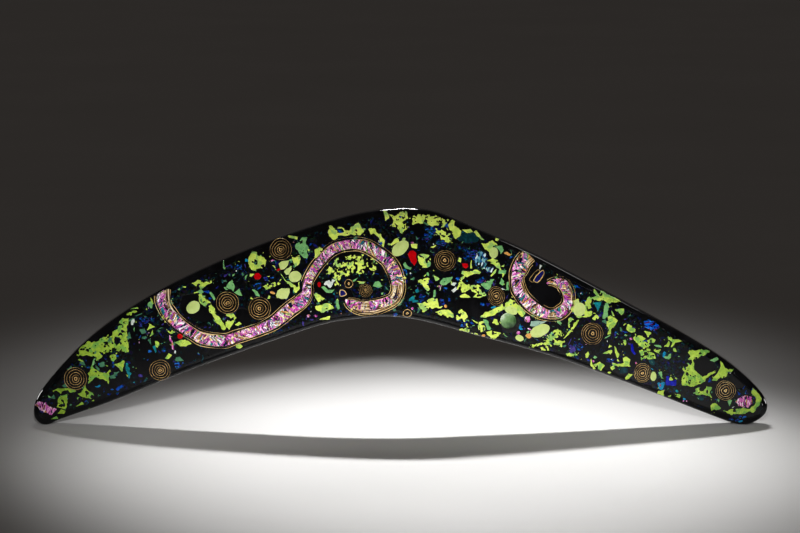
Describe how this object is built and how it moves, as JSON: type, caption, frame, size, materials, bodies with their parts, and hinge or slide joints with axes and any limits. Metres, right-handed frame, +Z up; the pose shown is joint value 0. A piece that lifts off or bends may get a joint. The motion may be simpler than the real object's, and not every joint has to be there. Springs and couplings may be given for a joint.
{
  "type": "boomerang",
  "caption": "Decorative boomerang: a thick, bevelled slab of polished black glass, with coloured glass shards, ring slices and two ribbons let into its front face.",
  "frame": {"origin": "centre of the bounding box in plan, at the level of the surface that the two tips stand on", "axes": "+X along the span towards the right-hand tip as seen from the front, +Y from the inlaid front face to the plain back, +Z up from the tips to the bend"},
  "size_m": [0.6, 0.014, 0.1788],
  "materials": {
    "black_glass": "polished, deep black",
    "ring_cane_glass": "polished, thin concentric bronze rings on black",
    "ribbon_glass": "polished, iridescent pink, gold and white stripes with bronze edges",
    "navy_glass": "polished dark blue",
    "lime_glass": "polished, opaque lime green with fine dark pits",
    "lime_cabochon_glass": "smooth, milky lime",
    "jade_glass": "polished, milky jade green",
    "red_glass": "polished, opaque red",
    "green_dome_glass": "smooth, translucent green",
    "teal_glass": "polished teal",
    "mosaic_glass": "polished, white and pale teal mosaic on black",
    "pink_iridescent_glass": "polished, iridescent pink flakes",
    "blue_glass": "polished, iridescent blue stripes"
  },
  "bodies": {
    "root": {"black_glass_slab": "black_glass", "ring_slice_01": "ring_cane_glass", "ring_slice_02": "ring_cane_glass", "ring_slice_03": "ring_cane_glass", "ring_slice_04": "ring_cane_glass", "ring_slice_05": "ring_cane_glass", "ring_slice_06": "ring_cane_glass", "ring_slice_07": "ring_cane_glass", "ring_slice_08": "ring_cane_glass", "ring_slice_09": "ring_cane_glass", "ring_slice_10": "ring_cane_glass", "ring_slice_11": "ring_cane_glass", "ring_slice_12": "ring_cane_glass", "ring_slice_13": "ring_cane_glass", "serpent_ribbon_1": "ribbon_glass", "serpent_ribbon_2": "ribbon_glass", "serpent_ribbon_3": "ribbon_glass", "serpent_ribbon_4": "ribbon_glass", "serpent_ribbon_5": "ribbon_glass", "serpent_ribbon_6": "ribbon_glass", "serpent_ribbon_7": "ribbon_glass", "serpent_ribbon_8": "ribbon_glass", "serpent_ribbon_9": "ribbon_glass", "serpent_head_stone": "navy_glass", "curl_ribbon_1": "ribbon_glass", "curl_ribbon_2": "ribbon_glass", "curl_ribbon_3": "ribbon_glass", "curl_ribbon_4": "ribbon_glass", "curl_eye_stone": "navy_glass", "lime_shard_left_arm": "lime_glass", "lime_shard_by_first_ring": "lime_glass", "lime_shard_diagonal": "lime_glass", "lime_shard_top_left": "lime_glass", "lime_shard_bend_left": "lime_glass", "lime_shard_bend": "lime_glass", "lime_shard_under_bend": "lime_glass", "lime_shard_under_bend_right": "lime_glass", "lime_shard_under_curl": "lime_glass", "lime_shard_right_top": "lime_glass", "lime_shard_right_middle": "lime_glass", "lime_shard_right_bow": "lime_glass", "lime_shard_right_lower": "lime_glass", "lime_shard_right_tip": "lime_glass", "lime_cabochon_left_arm": "lime_cabochon_glass", "lime_cabochon_under_ring": "lime_cabochon_glass", "lime_cabochon_bend": "lime_cabochon_glass", "lime_cabochon_right_arm": "lime_cabochon_glass", "lime_cabochon_by_curl": "lime_cabochon_glass", "jade_shard_left": "jade_glass", "jade_shard_middle": "jade_glass", "jade_shard_by_red_chip": "jade_glass", "jade_shard_right": "jade_glass", "red_drop": "red_glass", "red_chip": "red_glass", "green_dome": "green_dome_glass", "teal_triangle": "teal_glass", "mosaic_chip": "mosaic_glass", "pink_chip_left_tip": "pink_iridescent_glass", "pink_chip_right_tip": "pink_iridescent_glass", "blue_striped_chip": "blue_glass"}
  },
  "joints": []
}
